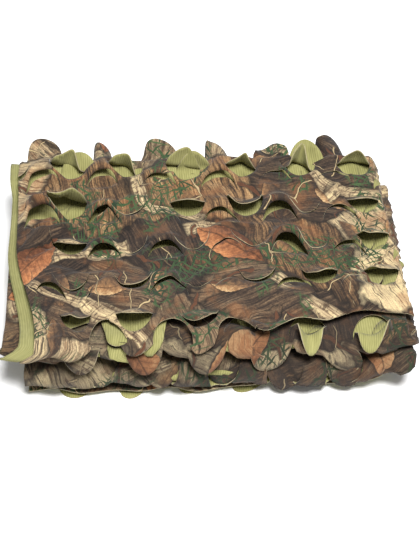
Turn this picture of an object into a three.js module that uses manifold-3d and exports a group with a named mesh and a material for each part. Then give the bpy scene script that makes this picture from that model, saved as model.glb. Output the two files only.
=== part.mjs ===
// A length of die-cut camouflage cloth, folded once lengthwise and then back and forth into a flat stack.
// The cloth is one sheet: u runs across it, from the upper ply's cut edge round the lengthwise fold to the
// lower ply's selvedge, and v runs along it, from the top leg's free end to the bottom leg's free end.
// Millimetres, +Z up, front at -Y, origin under the middle of the stack.
import * as THREE from "three";
import { mergeVertices } from "three/addons/utils/BufferGeometryUtils.js";
import Module from "manifold-3d";

const wasm = await Module();
wasm.setup();

// Cloth and stack.
const THICKNESS = 1.6;
const PLY_GAP = 6.2; // between the middles of neighbouring plies
const LEG_PITCH = 2 * PLY_GAP; // one leg is the doubled cloth: an upper and a lower ply
const UPPER_WIDTH = 365; // cut edge to lengthwise fold
const LOWER_WIDTH = 375; // lengthwise fold to selvedge
const FOLD_X = 181; // where the lengthwise fold starts to turn
const BOTTOM_SPINE_Z = THICKNESS / 2 + PLY_GAP / 2;

// The legs' turns from the top down. y is where the straight run ends and the turn starts.
const TURNS = [
  { name: "back_1", y: 112 },
  { name: "front_1", y: -115 },
  { name: "back_2", y: 100 },
  { name: "front_2", y: -123 },
  { name: "back_3", y: 106 },
];
const TOP_START_Y = -115; // the top leg bends down over the front from here
const BOTTOM_END_Y = -126;
const TOP_END = { v: -9, perX: 0.05 }; // the top free end is cut a little out of square

// How each leg lies askew: shift in mm along X, and skew in mm of X for each mm of Y. From the top down.
const LEGS = [
  { leg: 1, shift: -1.5, skew: -0.05 },
  { leg: 2, shift: -3, skew: 0.03 },
  { leg: 3, shift: 5, skew: 0.03 },
  { leg: 4, shift: 9, skew: 0 },
  { leg: 5, shift: 10, skew: 0 },
  { leg: 6, shift: 9, skew: 0 },
];
const TWIST_DEG = 4; // the top leg's turn about Z against the bottom leg
const CENTRE = { x: -1.9, y: -6.01 }; // middle of the stack's box before it is moved to the origin

// Die-cut tongues. Each is a half ellipse, hinged on its straight side, and two lie back to back on a row.
const TONGUE = { halfWidth: 18.5, depth: 28, columnPitch: 59.3, rowPitch: 50.8, hingeGap: 3 };
const FIRST_COLUMN = { onward: 25, backward: 51 }; // u of the tongues that point along v, and against it
const FIRST_ROW = { v: 35.4, u: 184, perU: -0.0376 }; // the rows lean a little across the cloth

// Tongues that leave the surface, by their columns and rows in the lattice. way is +1 along v or -1 against
// it, lift is the hinge angle in degrees, curl the further bend in degrees along the tongue, and sag how soon
// it droops under its weight. parts says what is made: the opening that it leaves, the tongue, or both.
const FLAPS = [
  { at: "back ears", parts: "both", way: -1, columns: [0, 1, 2, 3, 4, 5], rows: [4], lift: 0, curl: 14, sag: 0 },
  { at: "upper fold", parts: "tongue", way: 1, columns: [7, 8, 9, 10, 11], rows: [9], lift: 16, curl: 0, sag: 1 },
  { at: "lower fold", parts: "tongue", way: 1, columns: [7, 8], rows: [18], lift: 14, curl: 0, sag: 1 },
  { at: "under it", parts: "tongue", way: -1, columns: [9, 10, 11], rows: [19], lift: 0, curl: 0, sag: 0.3 },
  { at: "top right", parts: "both", way: -1, columns: [4, 5], rows: [3], lift: 20, curl: 10, sag: 0 },
  { at: "right edge", parts: "both", way: -1, columns: [5], rows: [1, 2], lift: 20, curl: 14, sag: 0 },
  { at: "middle", parts: "both", way: -1, columns: [2], rows: [3], lift: 20, curl: 8, sag: 0 },
  { at: "left", parts: "both", way: -1, columns: [0], rows: [3], lift: 26, curl: 16, sag: 0 },
  { at: "right", parts: "opening", way: 1, columns: [4], rows: [2, 3], lift: 0, curl: 0, sag: 0 },
  { at: "left", parts: "opening", way: 1, columns: [0, 1], rows: [2], lift: 0, curl: 0, sag: 0 },
];
const SIDE_LOBES = { way: 1, column: 6, rows: [1, 3, 7, 11, 16, 21, 26] }; // at the lengthwise fold

// Mesh steps, as coarse as the shape allows.
const LEG_STEPS = 4;
const TURN_STEPS = 4;
const PLY_STEPS = 6;
const HAIRPIN_STEPS = 3;
const TONGUE_STEPS = { across: 3, along: 3 };
const SIDE_LOBE_STEPS = { across: 2, along: 3 };

const TURN_RADIUS = LEG_PITCH / 2;
const HAIRPIN_LENGTH = (Math.PI * PLY_GAP) / 2;
const CLOTH_WIDTH = UPPER_WIDTH + HAIRPIN_LENGTH + LOWER_WIDTH;
const LEG_COUNT = LEGS.length;
const TOP_SPINE_Z = BOTTOM_SPINE_Z + (LEG_COUNT - 1) * LEG_PITCH;
const TOP_PLY_Z = TOP_SPINE_Z + PLY_GAP / 2;
const DROOP_RADIUS = 3 * TURN_RADIUS;

const clamp01 = (t) => Math.min(1, Math.max(0, t));
const smooth = (t) => clamp01(t) ** 2 * (3 - 2 * clamp01(t));
const radians = (degrees) => (degrees * Math.PI) / 180;

// The spine is the doubled cloth's middle line in the YZ plane, as runs of known length from v = 0.
function spineRuns() {
  const runs = [];
  let v = 0;
  let y = TOP_START_Y;
  [...TURNS.map((turn) => turn.y), BOTTOM_END_Y].forEach((end, leg) => {
    const z = TOP_SPINE_Z - leg * LEG_PITCH;
    const length = Math.abs(end - y);
    const sense = Math.sign(end - y);
    runs.push({ kind: "leg", start: v, length, y, z, sense });
    v += length;
    if (leg < TURNS.length) {
      runs.push({ kind: "turn", start: v, length: Math.PI * TURN_RADIUS, y: end, z: z - TURN_RADIUS, sense });
      v += Math.PI * TURN_RADIUS;
    }
    y = end;
  });
  return runs;
}
const RUNS = spineRuns();
const LAST_RUN = RUNS[RUNS.length - 1];
const CLOTH_END = LAST_RUN.start + LAST_RUN.length;

// A point on the spine and the normal there, which points to the upper ply of the top leg.
function spineAt(v) {
  if (v < 0) {
    const angle = -v / DROOP_RADIUS;
    return {
      y: TOP_START_Y - DROOP_RADIUS * Math.sin(angle),
      z: TOP_SPINE_Z - DROOP_RADIUS * (1 - Math.cos(angle)),
      ny: -Math.sin(angle),
      nz: Math.cos(angle),
    };
  }
  const run = RUNS.find((r) => v <= r.start + r.length) ?? LAST_RUN;
  const along = v - run.start;
  if (run.kind === "leg") {
    return { y: run.y + run.sense * along, z: run.z, ny: 0, nz: run.sense };
  }
  const angle = along / TURN_RADIUS;
  const sin = Math.sin(angle);
  const cos = Math.cos(angle);
  return {
    y: run.y + run.sense * TURN_RADIUS * sin,
    z: run.z + TURN_RADIUS * cos,
    ny: sin,
    nz: run.sense * cos,
  };
}

// Across the cloth: how far from the lengthwise fold, and how far from the spine, out is to the print side.
function acrossAt(u, out) {
  const reach = PLY_GAP / 2 + out;
  if (u <= UPPER_WIDTH) return { x: u - UPPER_WIDTH, offset: reach };
  const angle = (u - UPPER_WIDTH) / (PLY_GAP / 2);
  if (angle < Math.PI) return { x: reach * Math.sin(angle), offset: reach * Math.cos(angle) };
  return { x: UPPER_WIDTH + HAIRPIN_LENGTH - u, offset: -reach };
}

// The legs' shift and skew at a height, read between neighbouring legs.
function askewAt(z) {
  const place = Math.min(LEG_COUNT - 1, Math.max(0, (TOP_SPINE_Z - z) / LEG_PITCH));
  const above = LEGS[Math.floor(place)];
  const below = LEGS[Math.min(LEG_COUNT - 1, Math.floor(place) + 1)];
  const part = place - Math.floor(place);
  return {
    shift: above.shift + part * (below.shift - above.shift),
    skew: above.skew + part * (below.skew - above.skew),
  };
}

// Unevenness of the stack: gentle waves that grow with height, a crest along the back fold that is higher
// between the ears, and the right end of the lower legs lifted off the ground.
function unevenAt(x, y, z) {
  const height = Math.max(0, z - THICKNESS) / (TOP_PLY_Z - THICKNESS);
  const waves =
    1.8 * Math.sin(x / 47 + 0.6) * Math.cos(y / 62 + 0.3) +
    1.2 * Math.sin((x + 1.4 * y) / 31 + 1.1) +
    3 * Math.exp(-(((x + 125) / 55) ** 2) - ((y - 45) / 50) ** 2) * Math.sin(x / 13);
  const ears = 0.6 + 0.4 * Math.cos((2 * Math.PI * (x + FOLD_X - 30)) / TONGUE.columnPitch);
  const crest = 5.5 * Math.exp(-(((y - 114) / 15) ** 2)) * ears;
  const lift = 11 * smooth((x - 146) / 60) * Math.max(0, 1 - height);
  return height * waves + height ** 3 * crest + lift;
}

// A point of the flat cloth where it lies in the stack. out is the distance to the print side.
function clothAt(u, v, out) {
  const spine = spineAt(v);
  const across = acrossAt(u, out);
  const x = FOLD_X + across.x;
  const y = spine.y + across.offset * spine.ny;
  const z = spine.z + across.offset * spine.nz;
  const { shift, skew } = askewAt(z);
  const turn = radians(TWIST_DEG) * (z / TOP_PLY_Z);
  const slid = x + shift + skew * y;
  return new THREE.Vector3(
    slid * Math.cos(turn) - y * Math.sin(turn) - CENTRE.x,
    slid * Math.sin(turn) + y * Math.cos(turn) - CENTRE.y,
    z + unevenAt(x, y, z),
  );
}

// A closed geometry between two sides of a grid. pointAt(i, j, side) gives a point, side is +1 or -1.
function slab(columns, rows, pointAt) {
  const positions = [];
  const index = [];
  const at = (i, j, side) => (side > 0 ? 0 : (columns + 1) * (rows + 1)) + j * (columns + 1) + i;
  for (const side of [1, -1]) {
    for (let j = 0; j <= rows; j++) {
      for (let i = 0; i <= columns; i++) positions.push(...pointAt(i, j, side).toArray());
    }
  }
  const quad = (a, b, c, d) => index.push(a, b, c, a, c, d);
  for (let j = 0; j < rows; j++) {
    for (let i = 0; i < columns; i++) {
      quad(at(i, j, 1), at(i + 1, j, 1), at(i + 1, j + 1, 1), at(i, j + 1, 1));
      quad(at(i, j, -1), at(i, j + 1, -1), at(i + 1, j + 1, -1), at(i + 1, j, -1));
    }
  }
  for (let i = 0; i < columns; i++) {
    quad(at(i, 0, -1), at(i + 1, 0, -1), at(i + 1, 0, 1), at(i, 0, 1));
    quad(at(i, rows, 1), at(i + 1, rows, 1), at(i + 1, rows, -1), at(i, rows, -1));
  }
  for (let j = 0; j < rows; j++) {
    quad(at(0, j, 1), at(0, j + 1, 1), at(0, j + 1, -1), at(0, j, -1));
    quad(at(columns, j, -1), at(columns, j + 1, -1), at(columns, j + 1, 1), at(columns, j, 1));
  }
  const geometry = new THREE.BufferGeometry();
  geometry.setAttribute("position", new THREE.Float32BufferAttribute(positions, 3));
  geometry.setIndex(index);
  return geometry;
}

function solidOf(geometry) {
  const merged = mergeVertices(geometry, 1e-4);
  const vertProperties = merged.attributes.position.array;
  const solid = new wasm.Manifold(
    new wasm.Mesh({ numProp: 3, vertProperties, triVerts: new Uint32Array(merged.index.array) }),
  );
  if (solid.volume() > 0) return solid;
  const turned = new Uint32Array(merged.index.array).reverse();
  return new wasm.Manifold(new wasm.Mesh({ numProp: 3, vertProperties, triVerts: turned }));
}

function geometryOf(solid) {
  const mesh = solid.getMesh();
  const geometry = new THREE.BufferGeometry();
  geometry.setAttribute("position", new THREE.BufferAttribute(new Float32Array(mesh.vertProperties), 3));
  geometry.setIndex(new THREE.BufferAttribute(new Uint32Array(mesh.triVerts), 1));
  geometry.computeVertexNormals();
  return geometry;
}

const divide = (from, to, steps) => Array.from({ length: steps }, (_, i) => from + ((to - from) * i) / steps);

// The whole sheet without its cuts.
function sheetSolid() {
  const across = [
    ...divide(0, UPPER_WIDTH, PLY_STEPS),
    ...divide(UPPER_WIDTH, UPPER_WIDTH + HAIRPIN_LENGTH, HAIRPIN_STEPS),
    ...divide(UPPER_WIDTH + HAIRPIN_LENGTH, CLOTH_WIDTH, PLY_STEPS),
    CLOTH_WIDTH,
  ];
  const along = RUNS.flatMap((run) =>
    divide(run.start, run.start + run.length, run.kind === "leg" ? LEG_STEPS : TURN_STEPS),
  );
  const rows = [-THICKNESS, ...along, CLOTH_END];
  const pointAt = (i, j, side) => {
    const u = across[i];
    const free = TOP_END.v + TOP_END.perX * (FOLD_X + acrossAt(u, 0).x);
    const v = j === 0 ? Math.min(free, -THICKNESS) : rows[j];
    return clothAt(u, v, (side * THICKNESS) / 2);
  };
  return solidOf(slab(across.length - 1, rows.length - 1, pointAt));
}

// Where a tongue is hinged: the column's u, and the row's v with its lean, a little apart back to back.
function hingeOf(way, column, row) {
  const u = (way > 0 ? FIRST_COLUMN.onward : FIRST_COLUMN.backward) + column * TONGUE.columnPitch;
  const v = FIRST_ROW.v + row * TONGUE.rowPitch + FIRST_ROW.perU * (u - FIRST_ROW.u);
  return { u, v: v + way * TONGUE.hingeGap };
}

const halfWidthAt = (depth) => TONGUE.halfWidth * Math.sqrt(Math.max(0.02, 1 - (depth / TONGUE.depth) ** 2));

// The piece of space that a tongue leaves open in the ply when it turns away.
function openingSolid(way, hinge) {
  const { across, along } = TONGUE_STEPS;
  const pointAt = (i, j, side) => {
    const depth = (TONGUE.depth * j) / along;
    const u = hinge.u + ((2 * i) / across - 1) * halfWidthAt(depth);
    return clothAt(u, hinge.v + way * depth, side * THICKNESS);
  };
  return solidOf(slab(across, along, pointAt));
}

// A tongue runs on straight from its hinge while the ply turns away under it, then lifts, curls and sags.
function tongueSolid(way, hinge, flap) {
  const { across, along } = TONGUE_STEPS;
  const root = -THICKNESS; // starts inside the ply
  const rows = [root, ...Array.from({ length: along }, (_, j) => (TONGUE.depth * (j + 1)) / along)];
  const paths = [];
  for (let i = 0; i <= across; i++) {
    const share = (2 * i) / across - 1;
    paths.push(
      rows.map((depth) => {
        const side = share * halfWidthAt(Math.max(0, depth));
        const foot = clothAt(hinge.u + side, hinge.v, 0);
        const ahead = clothAt(hinge.u + side, hinge.v + way * 0.5, 0).sub(foot).normalize();
        const normal = clothAt(hinge.u + side, hinge.v, 1).sub(foot).normalize();
        const middle = foot.clone();
        let heading = ahead.clone();
        const steps = 12;
        for (let k = 0; k < steps; k++) {
          const done = Math.max(0, (depth * (k + 0.5)) / steps) / TONGUE.depth;
          const angle = radians(flap.lift * smooth(done * 4) + flap.curl * done);
          heading = ahead.clone().multiplyScalar(Math.cos(angle)).addScaledVector(normal, Math.sin(angle));
          heading.z -= 1.8 * flap.sag * done;
          heading.normalize();
          middle.addScaledVector(heading, depth / steps);
        }
        const sideways = clothAt(hinge.u + side + 0.5, hinge.v, 0).sub(foot);
        const upright = sideways.cross(heading).multiplyScalar(way).normalize();
        return { middle, upright };
      }),
    );
  }
  const pointAt = (i, j, side) => {
    const { middle, upright } = paths[i][j];
    return middle.clone().addScaledVector(upright, (side * THICKNESS) / 2);
  };
  return solidOf(slab(across, along, pointAt));
}

// Tongues that cross the lengthwise fold stay flat in the lower ply's plane, so they stand out past the fold.
function sideLobeSolid(way, hinge) {
  const { across, along } = SIDE_LOBE_STEPS;
  const inner = CLOTH_WIDTH - LOWER_WIDTH + THICKNESS; // just inside the ply, past the fold's turn
  const pointAt = (i, j, side) => {
    const depth = (TONGUE.depth * (j + 0.3)) / (along + 0.3);
    const v = hinge.v + way * depth;
    const tip = hinge.u - halfWidthAt(depth);
    const stand = ((inner - Math.min(tip, inner - THICKNESS)) * (across - i)) / across;
    const base = clothAt(inner, v, (side * THICKNESS) / 2);
    const outward = base.clone().sub(clothAt(inner + THICKNESS, v, (side * THICKNESS) / 2)).normalize();
    return base.addScaledVector(outward, stand);
  };
  return solidOf(slab(across, along, pointAt));
}

function camoCloth() {
  let cloth = sheetSolid();
  for (const flap of FLAPS) {
    for (const [column, row] of flap.columns.flatMap((c) => flap.rows.map((r) => [c, r]))) {
      const hinge = hingeOf(flap.way, column, row);
      if (flap.parts !== "tongue") cloth = cloth.subtract(openingSolid(flap.way, hinge));
      if (flap.parts !== "opening") cloth = cloth.add(tongueSolid(flap.way, hinge, flap));
    }
  }
  for (const row of SIDE_LOBES.rows) {
    cloth = cloth.add(sideLobeSolid(SIDE_LOBES.way, hingeOf(SIDE_LOBES.way, SIDE_LOBES.column, row)));
  }
  // The cuts shave off specks of a few hundredths of a cubic millimetre, which are dropped.
  const [largest] = cloth.decompose().sort((a, b) => b.volume() - a.volume());
  const mesh = new THREE.Mesh(
    geometryOf(largest),
    new THREE.MeshStandardMaterial({ color: 0x7a6a50, roughness: 0.9, metalness: 0, side: THREE.DoubleSide }),
  );
  mesh.name = "camo_cloth";
  return mesh;
}

const group = new THREE.Group();
group.add(camoCloth());

export default group;
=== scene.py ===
"""Looks of the folded die-cut camouflage cloth: one printed sheet in its folds, its tongues cut and bent.

The flat cloth is meshed first, with every visible cut and hinge line in the mesh. The mesh is split along the
cuts, laid into the folded stack as the CAD solid is, and given its two sides and its cut edge. u runs across
the cloth and v along it. Lengths are in millimetres until the mesh is made in metres.
"""

import math

import bpy
import numpy as np
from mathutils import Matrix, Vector
from mathutils.geometry import delaunay_2d_cdt


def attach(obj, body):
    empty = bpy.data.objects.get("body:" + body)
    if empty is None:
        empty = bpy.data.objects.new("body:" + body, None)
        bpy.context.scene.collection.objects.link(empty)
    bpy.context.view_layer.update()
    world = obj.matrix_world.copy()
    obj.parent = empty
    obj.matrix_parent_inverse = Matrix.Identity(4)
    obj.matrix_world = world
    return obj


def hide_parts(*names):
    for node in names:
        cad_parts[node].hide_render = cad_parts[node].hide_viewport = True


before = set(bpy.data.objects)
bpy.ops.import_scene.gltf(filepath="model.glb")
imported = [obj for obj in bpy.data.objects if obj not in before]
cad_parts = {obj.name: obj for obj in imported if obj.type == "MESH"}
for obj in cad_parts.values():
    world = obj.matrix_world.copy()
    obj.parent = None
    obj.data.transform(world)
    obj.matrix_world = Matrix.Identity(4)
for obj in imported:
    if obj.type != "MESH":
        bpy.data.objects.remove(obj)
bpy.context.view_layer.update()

MM = 0.001
SEED = 11

# The stack. Its plies and widths are the CAD part's. Its turns and legs follow the photo more closely.
THICKNESS = 1.6
PLY_GAP = 6.2
LEG_PITCH = 2 * PLY_GAP
TURN_RADIUS = LEG_PITCH / 2
UPPER_WIDTH = 365.0
LOWER_WIDTH = 375.0
FOLD_X = 181.0
HAIRPIN = math.pi * PLY_GAP / 2
CLOTH_WIDTH = UPPER_WIDTH + HAIRPIN + LOWER_WIDTH
BOTTOM_SPINE_Z = THICKNESS / 2 + PLY_GAP / 2
TURN_Y = [118, -116, 100, -127, 106]
TOP_START_Y = -115
BOTTOM_END_Y = -126
LEG_SHIFT = [-4, -3, 13.5, 10.5, 8.5, 5.5]
LEG_SKEW = [-0.02, 0.03, 0.03, 0, 0, 0]
LEG_SQUEEZE = [1, 0.995, 0.965, 0.95, 0.93, 0.9]  # the lower legs are gathered a little across
TWIST_DEG = 4
CENTRE_X, CENTRE_Y = -1.9, -6.01
TOP_SPINE_Z = BOTTOM_SPINE_Z + 5 * LEG_PITCH
TOP_PLY_Z = TOP_SPINE_Z + PLY_GAP / 2
SECOND_PLY_Z = TOP_SPINE_Z - PLY_GAP / 2
DROOP_RADIUS = 3 * TURN_RADIUS
TOP_SLACK = 4.5  # the top leg is this much longer than its run, taken up by its rumples
FOLD_LEAN = -0.042  # the first back fold runs askew, as the rows of cuts do
HALF_TURN = 10  # about half the cloth that a turn takes

# The die-cut tongues: half ellipses, hinged on the straight side, two back to back on each row.
HALF_WIDTH = 18.5
DEPTH = 28.0
COLUMN_PITCH = 59.3
ROW_PITCH = 50.8
HINGE_GAP = 3.0
FIRST_U = {1: 25.0, -1: 51.0}
FIRST_V = 35.4
ROW_LEAN = -0.0376
LEAN_FROM_U = 184.0
COLUMNS, ROWS = range(-1, 12), range(-1, 29)
EAR_ROW = 4  # the row at the first back fold
SHIFTED_ROWS = {4: 11, 12: 13}  # rows past these are this much further along, to lie at the folds as seen
STRAIGHTER_ROW = 18  # rows past this one lean a quarter as much
SELVEDGE = 16.0
SHEET_THICKNESS = 0.8


def smooth(t):
    """0 up to t = 0, 1 from t = 1 and smooth between."""
    t = np.clip(t, 0, 1)
    return t * t * (3 - 2 * t)


# -------- the folded stack


def spine_runs():
    """Straight legs and turns from v = 0: kind, start, length, drawn length, y, z, sense."""
    runs, v, y = [], 0.0, TOP_START_Y
    for leg, end in enumerate(TURN_Y + [BOTTOM_END_Y]):
        z = TOP_SPINE_Z - leg * LEG_PITCH
        drawn, sense = abs(end - y), math.copysign(1, end - y)
        length = drawn + (TOP_SLACK if leg == 0 else 0)
        runs.append((0, v, length, drawn, y, z, sense))
        v += length
        if leg < len(TURN_Y):
            turn = math.pi * TURN_RADIUS
            runs.append((1, v, turn, turn, end, z - TURN_RADIUS, sense))
            v += turn
        y = end
    return np.array(runs)


RUNS = spine_runs()
TURN_START = RUNS[1::2, 1]
TURN_END = RUNS[1::2, 1] + RUNS[1::2, 2]
CLOTH_END = RUNS[-1, 1] + RUNS[-1, 2]


def from_turn(v, k):
    """Distance along the cloth from the middle of turn k."""
    return np.abs(v - TURN_START[k] - HALF_TURN)


def spine_at(v):
    """Place and normal of the doubled cloth's middle line. The normal points to the top leg's upper ply."""
    run = RUNS[np.clip(np.searchsorted(RUNS[:, 1], v, side="right") - 1, 0, len(RUNS) - 1)]
    is_turn, start, length, drawn, y0, z0, sense = run.T
    along = (v - start) * drawn / length
    angle = np.where(is_turn > 0, along / TURN_RADIUS, 0)
    sin, cos = np.sin(angle), np.cos(angle)
    y = np.where(is_turn > 0, y0 + sense * TURN_RADIUS * sin, y0 + sense * along)
    z = np.where(is_turn > 0, z0 + TURN_RADIUS * cos, z0)
    ny = np.where(is_turn > 0, sin, 0)
    nz = np.where(is_turn > 0, sense * cos, sense)
    droop = np.maximum(-v, 0) / DROOP_RADIUS
    free = v < 0
    y = np.where(free, TOP_START_Y - DROOP_RADIUS * np.sin(droop), y)
    z = np.where(free, TOP_SPINE_Z - DROOP_RADIUS * (1 - np.cos(droop)), z)
    ny = np.where(free, -np.sin(droop), ny)
    nz = np.where(free, np.cos(droop), nz)
    return y, z, ny, nz


def across_at(u):
    """x from the lengthwise fold, and distance from the spine."""
    radius = PLY_GAP / 2
    angle = np.clip((u - UPPER_WIDTH) / radius, 0, math.pi)
    x = radius * np.sin(angle) + np.minimum(u - UPPER_WIDTH, 0) + np.minimum(UPPER_WIDTH + HAIRPIN - u, 0)
    return x, radius * np.cos(angle)


def uneven_at(x, y, z):
    """Height over the even folds: waves and a crest at the back that grow with height, less a sag at the
    top's front right, plus a lift of the lower legs' right end, most at the front."""
    height = np.maximum(0, z - THICKNESS) / (TOP_PLY_Z - THICKNESS)
    waves = (
        2.3 * np.sin(x / 47 + 0.6) * np.cos(y / 62 + 0.3)
        + 1.6 * np.sin((x + 1.4 * y) / 31 + 1.1)
        + 4 * np.exp(-(((x + 125) / 55) ** 2) - ((y - 45) / 50) ** 2) * np.sin(x / 13)
    )
    ears = 0.6 + 0.4 * np.cos(2 * math.pi * (x + FOLD_X - 30) / COLUMN_PITCH)
    crest = 3 * smooth((y - 30) / 70) + 5.5 * np.exp(-(((y - 120) / 16) ** 2)) * ears
    corner = 8 + 13 * smooth((10 - y) / 110)
    lift = corner * smooth((x - 128) / 74) * np.maximum(0, 1 - height)
    sag = 9 * smooth((x - 20) / 110) * smooth((-62 - y) / 45)
    return height * waves + height**1.5 * crest - height**3 * sag + lift


def lie_at(u, v):
    """Points of the flat cloth where they lie in the stack, as rows of x, y, z."""
    x, offset = across_at(u)
    x = FOLD_X + x
    # Near the first back fold the lower ply lies close under the upper one.
    crest = smooth((v - 205) / 20) * (1 - smooth((v - 258) / 20))
    offset = offset + 3.4 * crest * smooth((u - UPPER_WIDTH - HAIRPIN) / 20)
    askew = FOLD_LEAN * x * smooth((v - 60) / 120) * (1 - smooth((v - 300) / 110))
    y, z, ny, nz = spine_at(v - askew)
    y = y + offset * ny + askew
    z = z + offset * nz
    place = np.clip((TOP_SPINE_Z - z) / LEG_PITCH, 0, 5)
    shift = np.interp(place, range(6), LEG_SHIFT)
    skew = np.interp(place, range(6), LEG_SKEW)
    turn = math.radians(TWIST_DEG) * z / TOP_PLY_Z
    z = z + uneven_at(x, y, z) - sunk_at(x, y, z)
    y = y + fold_waver(x, y, z)
    squeeze = np.interp(place, range(6), LEG_SQUEEZE)
    # The top leg's front left corner is pulled in.
    gather = 20 * np.clip((-x - 105) / 80, 0, 1) ** 1.2 * smooth((10 - y) / 120) * smooth(1 - place)
    slid = x * squeeze + gather + shift + skew * y
    placed_x = slid * np.cos(turn) - y * np.sin(turn) - CENTRE_X
    placed_y = slid * np.sin(turn) + y * np.cos(turn) - CENTRE_Y
    return np.stack((placed_x, placed_y, z), axis=-1)


def fold_waver(x, y, z):
    """The turns are not straight: each wavers a little along its length."""
    edge = smooth((np.abs(y) - 80) / 35) * np.where(y > 0, 1, -1.5)
    layer = np.round(z / LEG_PITCH)
    return edge * (1.6 * np.sin(x / 21 + 1.9 * layer) + 1.3 * np.sin(x / 9.5 + 2.7 * layer + 0.8))


def sunk_at(x, y, z):
    """The plies under the open tongues are pressed down, most under the rumpled left of the top."""
    inner = smooth((112 - np.abs(y)) / 30) * smooth((172 - x) / 30)
    depth = SINK["all"] + sum(
        d * np.exp(-(((x - cx) / wx) ** 2) - ((y - cy) / wy) ** 2) for cx, cy, wx, wy, d in SINK["places"]
    )
    below = np.clip(z / SECOND_PLY_Z, 0, 1) * smooth((SECOND_PLY_Z + 4.5 - z) / 3)
    return inner * depth * below


SINK = {"all": 3.5, "places": [(-120, 50, 60, 50, 7.0), (95, 5, 45, 45, 3.0)]}


# -------- the tongues

# Tongues of the top leg's upper ply that stand off it. way 1 points to the back and -1 to the front.
# lift and curl bend the tongue up along its length, cup bends its sides down, twist lifts its right side,
# all in degrees. A lift under 0 dips it beneath the cloth. edge raises the cloth beyond its tip, in mm.
TOP_TONGUES = {
    # way, row: (lift, curl, cup, twist, edge) of columns 0 to 5
    (1, 3): [(-17, -6, 0, 6, 15), (-15, -6, 0, -6, 12), (-14, 0, 0, -12, 8), (-15, -8, 4, 0, 9),
             (-4, 0, 0, -4, 2), (-3, 0, 0, -3, 1)],
    (1, 2): [(-24, -6, 0, 0, 16), (-20, 0, 0, 8, 13), (-2, 0, 0, 0, 0.5), (-12, 0, 0, 0, 3),
             (-20, -4, 0, 8, 14), (-10, 0, 0, -10, 2)],
    (1, 1): [(-3, 0, 0, 0, 1), (-16, -4, -6, 4, 11), (-16, -4, -6, -4, 11), (-5, 0, 0, 0, 1.5),
             (-22, -4, 0, -10, 16), (-13, 0, 0, -8, 3)],
    (1, 0): [(-16, 0, 0, -14, 4), (9, 6, 8, 12, 1), (-13, 0, 0, 0, 3), (-2, 0, 0, 0, 0),
             (-13, 0, 0, 6, 2), (-2, 0, 0, 0, 0.5)],
    (-1, 3): [(52, 40, 0, 8, -2), (4, 0, 0, 8, 0), (56, -24, 12, 0, -2), (34, 0, -12, 6, -2),
             (3, 0, 0, 0, 0), (46, -14, 14, 0, -2)],
    (-1, 2): [(54, -40, 12, 0, -2), (2, 0, 0, 4, 0), (2, 0, 0, 0, 0), (5, 0, 0, -5, 0),
             (2, 0, 0, 0, 0.5), (58, -22, 16, 4, -2)],
    (-1, 1): [(6, 0, 0, 5, 0), (9, 0, 0, 6, 0), (2, 0, 0, 0, 0), (34, -44, 0, 5, 1),
             (50, -26, 10, 8, -2), (56, -20, 14, 0, -2)],
    (-1, 0): [(50, -20, 10, 0, -1), (62, -30, 14, -8, -1), (26, -10, 6, 6, -1), (36, -84, 18, 0, 3),
             (12, -20, 0, 8, 0), (3, 0, 0, 0, 0)],
}
# Tongues at the back fold of the top leg: ears that stand, and printed tongues that run on past the fold.
EARS = {
    # way, column: lift, curl, cup, twist
    (-1, 0): (92, -14, 44, 4),
    (-1, 1): (54, 26, 40, -26),
    (-1, 2): (118, -22, 10, 6),
    (-1, 3): (46, 34, 24, -12),
    (-1, 4): (100, 4, 50, 6),
    (-1, 5): (112, -52, 22, -8),
    (1, 0): (72, -2, 4, -8),
    (1, 1): (58, -8, 56, 4),
    (1, 2): (84, 6, 30, 4),
    (1, 3): (62, 4, 56, 10),
    (1, 4): (16, 50, -30, 30),
    (1, 5): (92, 44, 56, -6),
}
# Tongues of the first front fold's outer ply that have turned right over, plain side up, in TURNED_ROW.
TURNED = {(-1, 6): (112, 58, 34, 26), (-1, 7): (148, 62, 46, -10)}
TURNED_ROW = 9
# The second ply's tongues at the first back fold that come up through the openings over them.
RISING = {(1, 7): (-40, -14, 10, 0), (1, 9): (-72, -6, 14, 0), (1, 11): (-24, 0, 6, 0)}
FIRST_FRONT, SECOND_FRONT = 1, 3  # the turns at the front
HANGING_TO_U = 575  # the second front fold's tongues hang from the right end to here
SIDE_BAND = 45  # tongues this near the cloth's ends and side folds may show
TURN_MARGIN = 4  # a tongue this near a turn stands off it
TURN_BAND = 40  # a tongue this near a turn is cut, though it stays closed


def row_v(row):
    """v of a row's middle line, before its lean."""
    return FIRST_V + row * ROW_PITCH + sum(more for past, more in SHIFTED_ROWS.items() if row > past)


def tongue_list():
    """Every tongue that may show, with its shape: rows of u, v, way, half width, depth and bends."""
    rng = np.random.default_rng(SEED)
    rows = []
    for way in (1, -1):
        for column in COLUMNS:
            for row in ROWS:
                wobble = rng.normal(size=6)
                u = FIRST_U[way] + column * COLUMN_PITCH
                lean = ROW_LEAN * (0.25 if row > STRAIGHTER_ROW else 1)
                v = row_v(row) + lean * (u - LEAN_FROM_U) + way * HINGE_GAP
                if u > CLOTH_WIDTH - SELVEDGE - 10 or v > CLOTH_END + 15 or v < -25:
                    continue
                bend = bend_of(way, column, row, u, v, wobble)
                if bend is None:
                    continue
                half = HALF_WIDTH * (1 + 0.02 * wobble[4])
                depth = DEPTH * (1 + 0.025 * wobble[5])
                rows.append((u + 0.5 * wobble[2], v + 0.4 * wobble[3], way, half, depth, *bend))
    return np.array(rows)


def bend(lift=0, curl=0, cup=0, twist=0, edge=0, sag=0, follow=1):
    """One tongue's bends. sag bends it down under its weight. follow is 1 where it keeps to the cloth's
    folds, and 0 where it runs straight on from its hinge."""
    return lift, curl, cup, twist, edge, sag, follow


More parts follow.
